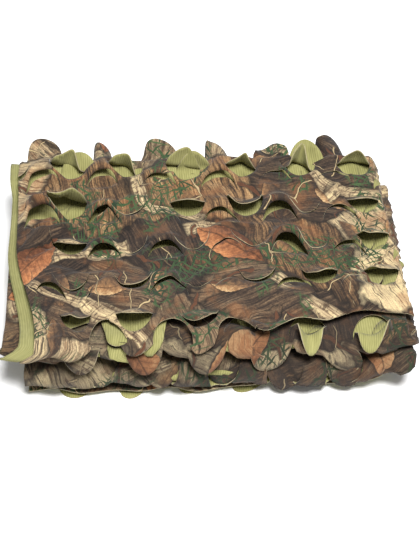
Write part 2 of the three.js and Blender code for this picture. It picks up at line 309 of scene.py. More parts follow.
def bend_of(way, column, row, u, v, wobble):
    """How one tongue bends, or None where it never shows."""
    on_upper = u < UPPER_WIDTH
    crosses_fold = UPPER_WIDTH - 5 < u < UPPER_WIDTH + 28
    if crosses_fold:
        return bend()
    if row < EAR_ROW and on_upper:
        tongues = TOP_TONGUES.get((way, row), [])
        small = 3 * wobble[0], 0, 0, 4 * wobble[1], 0
        lift, curl, cup, twist, edge = tongues[column] if 0 <= column < len(tongues) else small
        return bend(lift + 1.2 * wobble[0], curl, cup, twist + 2 * wobble[1], edge)
    if row < EAR_ROW:
        return bend(-9 - 7 * wobble[0], 4 * wobble[1], twist=5 * wobble[1])
    if row == EAR_ROW and on_upper:
        return bend(*EARS.get((way, column), (20, 0, 0, 0)), edge=6 if way < 0 else 0, follow=0)
    if row == EAR_ROW:
        return bend(*RISING[(way, column)], follow=0) if (way, column) in RISING else bend()
    return bend_at_turns(way, column, row, u, v, wobble)


def bend_at_turns(way, column, row, u, v, wobble):
    """The same for the lower legs. The tongues that reach a turn's outer ply stand off it or hang."""
    tip = v + way * DEPTH
    for k, (start, end) in enumerate(zip(TURN_START, TURN_END)):
        outer = (u < UPPER_WIDTH) == (k % 2 == 0)
        reaches = max(v, tip) > start - TURN_MARGIN and min(v, tip) < end + TURN_MARGIN
        if outer and reaches:
            if k == FIRST_FRONT and row == TURNED_ROW and (way, column) in TURNED:
                return bend(*TURNED[(way, column)], sag=0.5, follow=0)
            if k == SECOND_FRONT and way < 0:
                return bend(2 * wobble[0], twist=3 * wobble[1])
            if k == SECOND_FRONT and u < HANGING_TO_U:
                return bend(5 + 5 * abs(wobble[0]), 0, 4 + 8 * wobble[2], 7 * wobble[3], sag=1.8, follow=0)
            curl, cup = 8 * wobble[1], 6 + 5 * wobble[2]
            return bend(7 + 6 * abs(wobble[0]), curl, cup, 6 * wobble[3], sag=0.9, follow=0)
        if reaches or start - TURN_BAND < v < end + TURN_BAND:
            return bend(3 * wobble[0] if outer else 0, twist=3 * wobble[1])
    near_side = abs(u - UPPER_WIDTH - HAIRPIN / 2) < SIDE_BAND or u < SIDE_BAND
    if near_side or v > CLOTH_END - SIDE_BAND:
        return bend(2 * wobble[0], twist=2 * wobble[1])
    return None


TONGUES = tongue_list()
T_U, T_V, T_WAY, T_HALF, T_DEPTH, T_LIFT, T_CURL, T_CUP, T_TWIST, T_EDGE, T_SAG, T_FOLLOW = TONGUES.T
BEND_STEPS = 14


def crease_list():
    """Soft creases scattered over the top sheet: place, direction, half length, half width and height."""
    rng = np.random.default_rng(SEED + 2)
    count = 110
    u, v = rng.uniform(0, UPPER_WIDTH, count), rng.uniform(-15, 245, count)
    angle = rng.normal(0.15, 0.55, count)
    length, width = rng.uniform(16, 42, count), rng.uniform(3.0, 7.5, count)
    height = rng.choice((-0.8, 1.0), count) * rng.uniform(1.2, 4.2, count)
    height *= 1 + 1.2 * np.exp(-(((u - 55) / 65) ** 2) - ((v - 165) / 60) ** 2)
    return np.stack((u, v, angle, length, width, height), 1)


# Creases placed one by one: the rumples at the back left, and a few at the front and right.
PLACED_CREASES = [
    (40, 138, 0.25, 26, 9, 6.0),
    (34, 186, -0.15, 26, 8, 5.0),
    (98, 196, 0.35, 24, 9, 4.5),
    (112, 150, -0.25, 28, 9, 5.0),
    (8, 170, 1.4, 26, 7, 4.0),
    (70, 168, 0.1, 22, 9, -3.5),
    (250, 40, -0.7, 30, 10, 5.0),
    (205, 28, 0.9, 26, 9, 4.0),
    (320, 42, -0.35, 40, 12, 4.0),
    (150, 60, 0.2, 34, 12, 3.0),
]
CREASES = np.concatenate((crease_list(), PLACED_CREASES))


def relief_at(u, v):
    """Height of the body off its folded lie: the cloth beyond each open cut, its creases and fine rumples."""
    height = np.zeros_like(u)
    # Beyond a tongue's tip the cloth rises, rounded as the cut is.
    for k in np.nonzero(T_EDGE)[0]:
        du = u - T_U[k]
        dv = (v - T_V[k]) * T_WAY[k] - T_DEPTH[k]
        spread = np.where(dv > 4, 12.0, 6.5)
        rounded = dv + 0.5 * T_DEPTH[k] * (du / T_HALF[k]) ** 2
        height += T_EDGE[k] * np.exp(-((du / 18) ** 4) - ((rounded - 4) / spread) ** 2)
    for place_u, place_v, angle, length, width, rise in CREASES:
        du, dv = u - place_u, v - place_v
        along = du * math.cos(angle) + dv * math.sin(angle)
        across = dv * math.cos(angle) - du * math.sin(angle) + 0.004 * along**2
        height += rise * np.exp(-((along / length) ** 2) - (across / width) ** 2)
    # The rumpled back left of the top sheet, and the gathers of the lower ply at the front folds.
    left = np.exp(-(((u - 55) / 55) ** 4) - ((v - 178) / 48) ** 4) * (u < UPPER_WIDTH)
    height += 3.4 * left * np.sin(v / 4.3 + 0.9 * np.sin(u / 16) + 0.5) * (0.7 + 0.3 * np.sin(u / 11))
    lower = u > UPPER_WIDTH + 6
    rumple = np.sin(u / 9.1 + 1.2 * np.sin(v / 13)) * np.sin(v / 7.7 + 0.9 * np.sin(u / 27))
    fine = 0.5 * np.sin(u / 6.3 + 0.02 * v + 2 * np.sin(v / 31)) * np.sin(v / 17 + 0.4 * np.sin(u / 23))
    front = sum(smooth((46 - from_turn(v, k)) / 20) for k in (FIRST_FRONT, SECOND_FRONT))
    return height + fine + 1.8 * rumple * lower * front


def surface(u, v):
    """Where the body of the cloth lies, and its unit normal to the print side."""
    step = 0.4
    here = lie_at(u, v)
    along = lie_at(u, v + step) - lie_at(u, v - step)
    across = lie_at(u + step, v) - lie_at(u - step, v)
    normal = np.cross(across, along)
    normal /= np.linalg.norm(normal, axis=1, keepdims=True) + 1e-9
    return here + normal * relief_at(u, v)[:, None], normal


def unit(vectors):
    return vectors / (np.linalg.norm(vectors, axis=1, keepdims=True) + 1e-9)


def bent_tongues(u, v, k):
    """Where points of tongue k lie: followed from the hinge, bending as the tongue's row says."""
    way, total = T_WAY[k], T_DEPTH[k]
    side = (u - T_U[k]) / T_HALF[k]
    depth = np.maximum(0, (v - T_V[k]) * way)
    foot, normal = surface(u, T_V[k])
    ahead_point, _ = surface(u, T_V[k] + way * 0.6)
    ahead = unit(ahead_point - foot)
    sideways = np.cross(ahead, normal) * -way[:, None]
    gone, risen = np.zeros_like(u), np.zeros_like(u)
    path = foot.copy()
    for s in range(BEND_STEPS):
        done = depth * (s + 0.5) / BEND_STEPS / total
        ease = smooth(done * 3.2)
        angle = np.radians(T_LIFT[k] * ease + T_CURL[k] * done + T_TWIST[k] * side * ease)
        gone += np.cos(angle) * depth / BEND_STEPS
        risen += np.sin(angle) * depth / BEND_STEPS
        heading = ahead * np.cos(angle)[:, None] + normal * np.sin(angle)[:, None]
        heading[:, 2] -= 1.8 * T_SAG[k] * done
        path += unit(heading) * (depth / BEND_STEPS)[:, None]
    lain, lain_normal = surface(u, T_V[k] + way * gone)
    followed = lain + lain_normal * risen[:, None]
    follow = T_FOLLOW[k][:, None]
    point = follow * followed + (1 - follow) * path
    cup = np.radians(T_CUP[k]) * smooth(depth / total * 2.5)
    last = unit(normal * np.cos(angle)[:, None] - ahead * np.sin(angle)[:, None])
    drop = np.sin(cup) * np.abs(side) ** 1.6 * T_HALF[k]
    narrowed = (1 - np.cos(cup)) * side * T_HALF[k]
    point = point - last * drop[:, None] + sideways * narrowed[:, None]
    return side_lobes(point, u, v, depth, k)


def side_lobes(point, u, v, depth, k):
    """In every other row, away from the turns, the tongue that crosses the lengthwise fold runs out flat past
    it, in the lower ply's plane."""
    inner = UPPER_WIDTH + HAIRPIN + 1.5
    odd_row = np.floor((T_V[k] - FIRST_V + 14) / ROW_PITCH) % 2 == 1
    clear = np.min([from_turn(T_V[k], turn) for turn in range(5)], axis=0) > 42
    crosses = (T_U[k] > UPPER_WIDTH) & (u < inner) & odd_row & clear
    edge, _ = surface(np.full_like(u, inner), v)
    beyond, _ = surface(np.full_like(u, inner + 2), v)
    flat = edge + unit(edge - beyond) * (0.8 * (inner - u))[:, None]
    share = (smooth(depth / 20) * crosses)[:, None]
    return point * (1 - share) + flat * share


# -------- the flat mesh


def end_v(u):
    """v of the top free end. The upper ply ends in lobes. The lower ply ends further back, but for its
    selvedge and one lobe."""
    x = FOLD_X + across_at(u)[0]
    upper = np.interp(x, UPPER_END["x"], UPPER_END["v"])
    lobes = np.interp(x, UPPER_END["x"], UPPER_END["lobe"]) * np.cos(2 * math.pi * (x + 73.7) / COLUMN_PITCH)
    lower = np.interp(x, LOWER_END["x"], LOWER_END["v"])
    return np.where(u < UPPER_WIDTH + HAIRPIN / 2, upper - lobes, lower)


def last_v(u):
    """v of the bottom free end: the lowest ply shows as lobes under the ply above it."""
    x = FOLD_X + across_at(u)[0]
    lobes = np.cos(2 * math.pi * (x + 146) / COLUMN_PITCH) * 0.8 + 0.25 * np.sin(x / 37)
    reach = np.interp(x, (-60, 60), (16, 10))
    short = np.interp(x, (-30, 50), (0, 9))
    lowest = reach * np.sqrt(np.clip(lobes, 0, 1))
    return CLOTH_END - short + np.where(u < UPPER_WIDTH, lowest, 8 + 1.5 * np.sin(x / 19))


# Ends of the upper and lower ply at the top, by their place across the stack.
UPPER_END = {
    "x": [-184, -140, -115, -70, 0, 30, 75, 110, 150, 184],
    "v": [-18, -17, -14, -7, -8, 0, 8, 18, 18, 13],
    "lobe": [0, 2, 10, 11, 11, 8, 5, 3, 2, 0],
}
LOWER_END = {
    "x": [-194, -172, -166, -120, -104, -96, -84, -62, -50, -42, 40, 120, 184],
    "v": [-22, -20, 8, 26, 28, -14, -32, -33, -18, 28, 32, 46, 38],
}


# Distances between mesh points: the top sheet's two plies, the outer plies at the folds, and the rest.
STEPS = {"top": 2.6, "outer": 4.4, "second": 4.6, "fold": 6.0, "side": 6.5, "hidden": 17.0}


def mesh_step(u, v):
    """Wanted distance between mesh points."""
    upper = u < UPPER_WIDTH + 4
    turns = [from_turn(v, k) for k in range(5)]
    outer = np.zeros_like(u, bool)
    for k in range(5):
        outer |= (turns[k] < 46) & (upper == (k % 2 == 0))
    side = (np.abs(u - UPPER_WIDTH - HAIRPIN / 2) < 26) | (u < 26) | (u > CLOTH_WIDTH - 22)
    step = np.where(side, STEPS["side"], STEPS["hidden"])
    step = np.where(np.min(turns, axis=0) < 24, STEPS["fold"], step)
    step = np.where(outer, STEPS["outer"], step)
    step = np.where(v > CLOTH_END - 24, STEPS["fold"], step)
    return np.where(v < TURN_START[0] + 12, np.where(upper, STEPS["top"], STEPS["second"]), step)


def scatter():
    """Mesh points on staggered rows as close as mesh_step says, clear of the cut lines."""
    rng = np.random.default_rng(SEED + 1)
    points = []
    for size in STEPS.values():
        rows = np.arange(-30, CLOTH_END + 12, size * 0.866)
        for n, v in enumerate(rows):
            u = np.arange((n % 2) * size / 2, CLOTH_WIDTH, size)
            v = np.full_like(u, v)
            mine = np.abs(mesh_step(u, v) - size) < 0.01
            points.append(np.stack((u[mine], v[mine]), 1))
    points = np.concatenate(points)
    points += rng.normal(size=points.shape) * 0.05 * mesh_step(points[:, 0], points[:, 1])[:, None]
    u, v = points.T
    step = mesh_step(u, v)
    keep = (u > 0.4 * step) & (u < CLOTH_WIDTH - 0.4 * step) & (v < last_v(u) - 0.4 * step)
    keep &= np.abs(v - end_v(u)) > 0.4 * step
    for k in range(len(TONGUES)):
        near = keep & (np.abs(u - T_U[k]) < 30) & (np.abs(v - T_V[k]) < 40)
        side = (u[near] - T_U[k]) / T_HALF[k]
        deep = (v[near] - T_V[k]) * T_WAY[k]
        rim = np.abs(np.hypot(side, deep / T_DEPTH[k]) - 1) * 21  # about the distance to the arc
        clear = 0.45 * step[near]
        on_arc = (rim < clear) & (deep > -0.5 * step[near])
        on_hinge = (np.abs(deep) < clear) & (np.abs(side) < 1.05)
        keep[np.nonzero(near)[0][on_arc | on_hinge]] = False
    return points[keep]


def cut_lines():
    """Arcs and hinges of the tongues and the cloth's own edge, as points and the edges between them."""
    points, edges = [], []

    def line(us, vs, closed=False):
        first = len(points)
        points.extend(zip(us, vs))
        edges.extend((first + i, first + i + 1) for i in range(len(us) - 1))
        if closed:
            edges.append((first + len(us) - 1, first))

    for k in range(len(TONGUES)):
        middle_v = T_V[k : k + 1] + 0.6 * T_WAY[k] * T_DEPTH[k]
        step = mesh_step(T_U[k : k + 1], middle_v)[0]
        count = int(np.clip(75 / min(step, STEPS["side"]), 12, 40))
        angle = np.linspace(0, math.pi, count + 1)
        line(T_U[k] + T_HALF[k] * np.cos(angle), T_V[k] + T_WAY[k] * T_DEPTH[k] * np.sin(angle))
        across = np.linspace(-1, 1, max(6, count // 2) + 1)
        line(T_U[k] + T_HALF[k] * across, np.full_like(across, T_V[k]))
    across = np.linspace(0, CLOTH_WIDTH, 200)
    down = np.linspace(0, 1, 250)[1:-1]
    last = np.full_like(down, CLOTH_WIDTH)
    outline_u = np.concatenate((across, last, across[::-1], last * 0))
    onward = end_v(last) + (CLOTH_END - end_v(last)) * down
    back = CLOTH_END + (end_v(last * 0) - CLOTH_END) * down
    line(outline_u, np.concatenate((end_v(across), onward, last_v(across[::-1]), back)), closed=True)
    return points, edges


def tongue_of(u, v):
    """Index of the tongue that a flat point lies in, or -1."""
    owner = np.full(len(u), -1)
    for k in range(len(TONGUES)):
        near = np.nonzero((np.abs(u - T_U[k]) < T_HALF[k]) & (np.abs(v - T_V[k]) < T_DEPTH[k]))[0]
        deep = (v[near] - T_V[k]) * T_WAY[k]
        inside = (deep > 0) & (np.hypot((u[near] - T_U[k]) / T_HALF[k], deep / T_DEPTH[k]) < 1)
        owner[near[inside]] = k
    return owner


def flat_mesh():
    """Points, triangles and the tongue of each triangle, inside the cloth's edge."""
    points, edges = cut_lines()
    loose = scatter()
    vectors = [Vector(p) for p in points] + [Vector(p) for p in loose]
    verts, _, faces, _, _, _ = delaunay_2d_cdt(vectors, edges, [], 0, 1e-4)
    flat = np.array([tuple(p) for p in verts])
    faces = np.array([f for f in faces if len(f) == 3])
    u, v = flat[faces].mean(axis=1).T
    owner = tongue_of(u, v)
    # The tongues whose hinges the top free end runs along have dropped out.
    fallen = (T_V[owner] < 0) & (T_WAY[owner] > 0) & (T_U[owner] > 60) & (owner >= 0)
    inside = (u > 0) & (u < CLOTH_WIDTH) & (v > end_v(u)) & (v < last_v(u)) & ~fallen
    a, b, c = (flat[faces[:, i]] for i in range(3))
    area = 0.5 * ((b - a)[:, 0] * (c - a)[:, 1] - (b - a)[:, 1] * (c - a)[:, 0])
    faces[area < 0] = faces[area < 0][:, ::-1]
    keep = inside & (np.abs(area) > 1e-4)
    return flat, faces[keep], owner[keep]


def group_of(count, pairs):
    """The group of each of count things, where the two of every pair belong together."""
    parent = list(range(count))

    def find(i):
        while parent[i] != i:
            parent[i] = parent[parent[i]]
            i = parent[i]
        return i

    for a, b in pairs:
        parent[find(a)] = find(b)
    return np.array([find(i) for i in range(count)])


def uncut_pairs(flat, faces, owner):
    """Pairs of corners and pairs of faces that meet at an edge that no cut runs along."""
    side_of = {}
    for f, (a, b, c) in enumerate(faces.tolist()):
        for i, (p, q) in enumerate(((a, b), (b, c), (c, a))):
            side_of.setdefault((min(p, q), max(p, q)), []).append((f, i, p, q))
    corner_pairs, face_pairs = [], []
    for (p, q), uses in side_of.items():
        if len(uses) != 2:
            continue
        (f, i, fp, fq), (g, j, gp, gq) = uses
        if owner[f] != owner[g]:
            hinge = T_V[max(owner[f], owner[g])]
            if owner[f] >= 0 and owner[g] >= 0:
                continue
            if abs(flat[p][1] - hinge) > 0.02 or abs(flat[q][1] - hinge) > 0.02:
                continue
        face_pairs.append((f, g))
        corners_f = {fp: 3 * f + i, fq: 3 * f + (i + 1) % 3}
        corners_g = {gp: 3 * g + j, gq: 3 * g + (j + 1) % 3}
        corner_pairs += [(corners_f[vertex], corners_g[vertex]) for vertex in (p, q)]
    return corner_pairs, face_pairs


def split_along_cuts(flat, faces, owner):
    """Gives the two sides of every cut their own points, and drops pieces that the edges cut loose.

    Returns the points, the triangles, and the tongue that each point belongs to, or -1."""
    corner_pairs, face_pairs = uncut_pairs(flat, faces, owner)
    corners, new = np.unique(group_of(faces.size, corner_pairs), return_inverse=True)
    patch = group_of(len(faces), face_pairs)
    names, sizes = np.unique(patch, return_counts=True)
    main = patch == names[np.argmax(sizes)]
    used, packed = np.unique(new.reshape(-1, 3)[main], return_inverse=True)
    new_faces = packed.reshape(-1, 3)
    point_owner = np.full(len(used), -1)
    for corner in range(3):
        point_owner[new_faces[:, corner]] = owner[main]
    point_owner[new_faces[owner[main] < 0]] = -1
    return flat[faces.ravel()[corners]][used], new_faces, point_owner


# -------- the sheet


def laid_points(flat, point_owner):
    """The cloth's middle surface in its folds, with its tongues bent."""
    body = point_owner < 0
    points = np.zeros((len(flat), 3))
    points[body], _ = surface(flat[body, 0], flat[body, 1])
    tongue = ~body
    points[tongue] = bent_tongues(flat[tongue, 0], flat[tongue, 1], point_owner[tongue])
    points[:, 2] = np.maximum(points[:, 2], SHEET_THICKNESS / 2 + 0.05)
    return points


def point_normals(points, faces):
    a, b, c = (points[faces[:, i]] for i in range(3))
    face_normals = np.cross(b - a, c - a)
    normals = np.zeros_like(points)
    for i in range(3):
        np.add.at(normals, faces[:, i], face_normals)
    return unit(normals)


def sheet_object():
    """The two-sided cloth: print side, plain side and cut edge, each with its material."""
    flat, faces, point_owner = split_along_cuts(*flat_mesh())
    middle = laid_points(flat, point_owner)
    normals = point_normals(middle, faces)
    half = SHEET_THICKNESS / 2
    count = len(flat)
    points = np.concatenate((middle + normals * half, middle - normals * half)) * MM
    sides = dict.fromkeys(side for a, b, c in faces.tolist() for side in ((a, b), (b, c), (c, a)))
    rim = np.array([(q, p, p + count, q + count) for p, q in sides if (q, p) not in sides])
    back = faces[:, ::-1] + count
    mesh = bpy.data.meshes.new("camo_cloth_sheet")
    mesh.from_pydata(points, [], faces.tolist() + back.tolist() + rim.tolist())
    kinds = np.repeat((0, 1, 2), (len(faces), len(faces), len(rim)))
    mesh.polygons.foreach_set("material_index", kinds)
    mesh.polygons.foreach_set("use_smooth", np.ones(len(kinds), bool))
    mesh.update(calc_edges=True)
    loops = np.concatenate((faces.ravel(), back.ravel(), rim.ravel()))
    flat_uv(mesh, flat, loops % count)
    bake_uv(mesh, flat, faces, rim)
    sheet = bpy.data.objects.new("camo_cloth_sheet", mesh)
    bpy.context.scene.collection.objects.link(sheet)
    return sheet


def flat_uv(mesh, flat, loop_points):
    """The flat cloth's own coordinates in metres, for the print and the ribs."""
    layer = mesh.uv_layers.new(name="flat")
    layer.data.foreach_set("uv", (flat[loop_points] * MM).ravel())


def bake_chart(u, v, box, us, vs):
    """A part of the cloth in its box of the baked map: x from v, y from u, through matching stops."""
    x0, x1, y0, y1 = box
    share = np.interp(v, vs, BAKE_SHARES if vs is BAKE_STOPS else (0, 1))
    return np.stack((x0 + (x1 - x0) * share, y0 + (y1 - y0) * np.interp(u, us, (0, 1))), 1)


# Stops along the cloth: a hidden stretch, then a fold that shows, and so on. The hidden stretches get little
# of the baked map's width.
BAKE_STOPS = (-30, 225, 275, 455, 540, 700, 760, 925, 1025, 1200, 1260, 1440, 1495)
BAKE_WEIGHTS = np.diff(BAKE_STOPS) * np.tile((0.15, 1), 6)
BAKE_SHARES = np.concatenate(([0], np.cumsum(BAKE_WEIGHTS))) / sum(BAKE_WEIGHTS)
TOP_SHEET_V = (-28, 240)  # the stretch of the cloth that has the roomy charts
UPPER_U = (0, 370)
LOWER_U = (370, CLOTH_WIDTH)
# Boxes of the baked map: x from and to, y from and to.
TOP_PRINT_BOX = (0.003, 0.757, 0.003, 0.55)
PRINT_BOX = (0.003, 0.577, 0.563, 0.997)
PLAIN_BOX = (0.588, 0.837, 0.563, 0.997)
UPPER_PLAIN_BOX = (0.768, 0.997, 0.003, 0.272)
LOWER_PLAIN_BOX = (0.768, 0.997, 0.282, 0.55)
RIM_BOX = (0.848, 0.997, 0.563, 0.997)


def bake_uv(mesh, flat, faces, rim):
    """The map for baked looks. The top sheet's print side gets the most room and no two parts overlap."""
    middle = flat[faces].mean(axis=1)
    on_top = np.repeat(middle[:, 1] < TOP_SHEET_V[1], 3)
    upper = np.repeat(middle[:, 0] < UPPER_WIDTH + HAIRPIN / 2, 3)
    u, v = flat[faces.ravel()].T
    top_print = np.interp(u, UPPER_U, TOP_PRINT_BOX[:2]), np.interp(v, TOP_SHEET_V, TOP_PRINT_BOX[2:])
    rest = bake_chart(u, v, PRINT_BOX, (0, CLOTH_WIDTH), BAKE_STOPS)
    print_side = np.where((on_top & upper)[:, None], np.stack(top_print, 1), rest)
    u, v = flat[faces[:, ::-1].ravel()].T
    upper_plain = bake_chart(u, v, UPPER_PLAIN_BOX, UPPER_U, TOP_SHEET_V)
    lower_plain = bake_chart(u, v, LOWER_PLAIN_BOX, LOWER_U, TOP_SHEET_V)
    rest = bake_chart(u, v, PLAIN_BOX, (0, CLOTH_WIDTH), BAKE_STOPS)
    top_plain = np.where(upper[:, None], upper_plain, lower_plain)
    plain_side = np.where(on_top[:, None], top_plain, rest)
    layer = mesh.uv_layers.new(name="OFBake")
    layer.data.foreach_set("uv", np.concatenate((print_side, plain_side, rim_cells(len(rim)))).ravel())


def rim_cells(count):
    """A small cell of the baked map for each quad of the cut edge."""
    x0, x1, y0, y1 = RIM_BOX
    columns = int(math.sqrt(count / 3)) + 1
    cell_x, cell_y = (x1 - x0) / columns, (y1 - y0) / (count // columns + 1)
    corner_x, corner_y = np.array((0.1, 0.9, 0.9, 0.1)), np.array((0.1, 0.1, 0.9, 0.9))
    number = np.arange(count)[:, None]
    x = x0 + (number % columns + corner_x) * cell_x
    y = y0 + (number // columns + corner_y) * cell_y
    return np.stack((x.ravel(), y.ravel()), 1)


# -------- materials

FULL_CIRCLE = 6.283  # radians
WEAVE_PITCH, RIB_PITCH = 1.1, 2.3


def linear(r, g, b):
    """A colour from its usual 0 to 255 values."""
    return tuple(((c / 255 + 0.055) / 1.055) ** 2.4 if c > 10 else c / 255 / 12.92 for c in (r, g, b))


def shades(*stops):
    """Stops of a colour ramp, from the place and the 0 to 255 values of each."""
    return [(place, linear(r, g, b)) for place, r, g, b in stops]


class Wire:
    """One number or colour on its way through a material. Arithmetic on it adds the nodes."""

    def __init__(self, nodes, socket):
        self.nodes, self.socket = nodes, socket

    def __add__(self, other):
        return self.nodes.math("ADD", self, other)

    def __sub__(self, other):
        return self.nodes.math("SUBTRACT", self, other)

    def __rsub__(self, other):
        return self.nodes.math("SUBTRACT", other, self)

    def __mul__(self, other):
        return self.nodes.math("MULTIPLY", self, other)

    def __truediv__(self, other):
        return self.nodes.math("MULTIPLY", self, 1 / other)

    __radd__, __rmul__ = __add__, __mul__

    def size(self):
        return self.nodes.math("ABSOLUTE", self)

    def sin(self):
        return self.nodes.math("SINE", self)

    def cos(self):
        return self.nodes.math("COSINE", self)

    def fraction(self):
        return self.nodes.math("FRACT", self)

    def floor(self):
        return self.nodes.math("FLOOR", self)

    def rise(self, low, high):
        """0 below low, 1 above high and smooth between. With low over high it falls instead."""
        falls = low > high
        node = self.nodes.add("ShaderNodeMapRange", interpolation_type="SMOOTHSTEP")
        self.nodes.fill(node, Value=self, From_Min=min(low, high), From_Max=max(low, high))
        self.nodes.fill(node, To_Min=float(falls), To_Max=float(not falls))
        return Wire(self.nodes, node.outputs["Result"])


class Nodes:
    """Short calls that add nodes to a material."""

    def __init__(self, material):
        self.tree = material.node_tree

    def add(self, kind, **settings):
        node = self.tree.nodes.new(kind)
        for name, value in settings.items():
            setattr(node, name, value)
        return node

    def put(self, value, socket):
        if isinstance(value, Wire):
            self.tree.links.new(value.socket, socket)
        elif isinstance(value, tuple):
            socket.default_value = (*value, 1)
        else:
            socket.default_value = value

    def fill(self, node, **inputs):
        """Puts values in a node's inputs, whose names have _ for a space."""
        for name, value in inputs.items():
            self.put(value, node.inputs[name.replace("_", " ")])

    def math(self, operation, *values):
        node = self.add("ShaderNodeMath", operation=operation)
        for value, socket in zip(values, node.inputs):
            self.put(value, socket)
        return Wire(self, node.outputs[0])

    def vector(self, x, y):
        node = self.add("ShaderNodeCombineXYZ")
        self.put(x, node.inputs[0])
        self.put(y, node.inputs[1])
        return Wire(self, node.outputs[0])

    def parts(self, vector):
        node = self.add("ShaderNodeSeparateXYZ")
        self.put(vector, node.inputs[0])
        return tuple(Wire(self, out) for out in node.outputs)

    def noise(self, x, y, detail=2.0, rough=0.5):
        node = self.add("ShaderNodeTexNoise", noise_dimensions="2D")
        self.fill(node, Vector=self.vector(x, y), Scale=1, Detail=detail, Roughness=rough)
        return Wire(self, node.outputs["Fac"])

    def scattered(self, x, y, feature, loose=1.0):
        node = self.add("ShaderNodeTexVoronoi", voronoi_dimensions="2D", feature=feature)
        self.fill(node, Vector=self.vector(x, y), Scale=1, Randomness=loose)
        return node

    def cells(self, x, y, loose=1.0):
        """Nearest point of a scattered grid: three random numbers, and x and y from it."""
        node = self.scattered(x, y, "F1", loose)
        random = self.parts(Wire(self, node.outputs["Color"]))
        at_x, at_y, _ = self.parts(Wire(self, node.outputs["Position"]))
        return random, x - at_x, y - at_y

    def cracks(self, x, y):
        """Distance to the border between the cells of a scattered grid."""
        return Wire(self, self.scattered(x, y, "DISTANCE_TO_EDGE").outputs["Distance"])

    def chance(self, value):
        node = self.add("ShaderNodeTexWhiteNoise", noise_dimensions="1D")
        self.fill(node, W=value)
        return Wire(self, node.outputs["Value"])

    def mix(self, share, first, second, kind="MIX"):
        node = self.add("ShaderNodeMix", data_type="RGBA", blend_type=kind)
        self.put(share, node.inputs[0])
        self.put(first, node.inputs[6])
        self.put(second, node.inputs[7])
        return Wire(self, node.outputs[2])

    def ramp(self, value, *stops):
        node = self.add("ShaderNodeValToRGB")
        self.put(value, node.inputs[0])
        elements = node.color_ramp.elements
        while len(elements) < len(stops):
            elements.new(0.5)
        for element, (place, colour) in zip(elements, stops):
            element.position = place
            element.color = (*colour, 1)
        return Wire(self, node.outputs[0])

    def flat_place(self):
        """Place on the flat cloth in millimetres."""
        node = self.add("ShaderNodeUVMap", uv_map="flat")
        x, y, _ = self.parts(Wire(self, node.outputs[0]))
        return x * 1000, y * 1000


def turned(x, y, angle):
    """x and y in axes turned by an angle in radians, a number or a Wire."""
    if isinstance(angle, Wire):
        cos, sin = angle.cos(), angle.sin()
    else:
        cos, sin = math.cos(angle), math.sin(angle)
    return x * cos + y * sin, y * cos - x * sin


PALE_WOOD = shades((0.30, 82, 66, 52), (0.42, 134, 116, 92), (0.52, 166, 150, 122), (0.66, 192, 177, 142))
BROWN_BARK = shades((0.32, 40, 32, 27), (0.43, 88, 68, 50), (0.53, 134, 107, 76), (0.68, 176, 150, 112))
DARK_BARK = shades((0.32, 30, 26, 24), (0.45, 62, 50, 42), (0.56, 98, 80, 62), (0.70, 140, 120, 94))


def bark(n, x, y):
    """Pieces of weathered wood and bark, pale, brown and dark, each with its own straight grain."""
    warp_x = x + (n.noise(x / 34, y / 34, 3, 0.6) - 0.5) * 34
    warp_y = y + (n.noise(x / 34 + 7.3, y / 34 + 3.1, 3, 0.6) - 0.5) * 34
    (turn, tone, kind), _, _ = n.cells(warp_x / 104, warp_y / 84)
    border = n.cracks(warp_x / 104, warp_y / 84)
    bow = (n.noise(x / 70, y / 70) - 0.5) * 16
    along, across = turned(x + bow, y + bow, turn * math.pi)
    fine = n.noise(along / 42, across / 1.5, 4, 0.62)
    coarse = n.noise(along / 58, across / 6.5, 3, 0.6)
    speck = n.noise(x / 2.4, y / 2.4, 5, 0.75)
    value = fine * 0.48 + coarse * 0.36 + speck * 0.3 + (tone - 0.5) * 0.2 - 0.055
    colour = n.mix(kind.rise(0.50, 0.52), n.ramp(value, *PALE_WOOD), n.ramp(value, *BROWN_BARK))
    colour = n.mix(kind.rise(0.74, 0.76), colour, n.ramp(value, *DARK_BARK))
    furrow = n.noise(along / 26, across / 3.2 + 5.5, 3, 0.7).rise(0.57, 0.63)
    colour = n.mix(furrow * 0.75, colour, linear(38, 31, 27))
    stain = n.noise(x / 38 + 11.7, y / 38, 6, 0.62).rise(0.52, 0.66)
    colour = n.mix(stain * 0.5, colour, linear(58, 46, 38))
    warm = n.noise(x / 44, y / 44 + 21.3, 5, 0.6).rise(0.52, 0.68)
    colour = n.mix(warm * 0.42, colour, linear(142, 98, 62))
    return n.mix(border.rise(0.055, 0.0) * 0.75, colour, linear(34, 28, 24))


def limbs(n, x, y, below, angle, pitch, seed):
    """Long thin trunks lying across the litter, lit along the middle, with short dark bark marks."""
    along, across = turned(x, y, angle)
    across = across + (n.noise(along / 110 + seed, across / 260, 1) - 0.5) * 90
    row = across / pitch
    lot = n.chance(row.floor() + seed)
    side = row.fraction() - 0.5
    half = 0.05 + (n.noise(along / 50, row.floor() + seed) - 0.5) * 0.07
    some = n.noise(along / 90 + lot * 9, seed).rise(0.50, 0.52)
    round_off = (side.size() / 0.07).rise(0.2, 1.0)
    marks = n.noise(along / 3.4, across / 9, 4, 0.7).rise(0.52, 0.62)
    colour = n.ramp(n.noise(along / 30, across / 2.4, 4, 0.6), *PALE_WOOD)
    colour = n.mix(marks * 0.75, colour, linear(66, 50, 38))
    colour = n.mix(round_off * 0.55, colour, linear(70, 55, 42))
    past = side.size() - half
    cover = past.rise(0.004, -0.004) * some
    shade = past.rise(0.05, 0.0) * some
    return n.mix(cover, n.mix(shade * 0.6, below, linear(30, 26, 23)), colour)


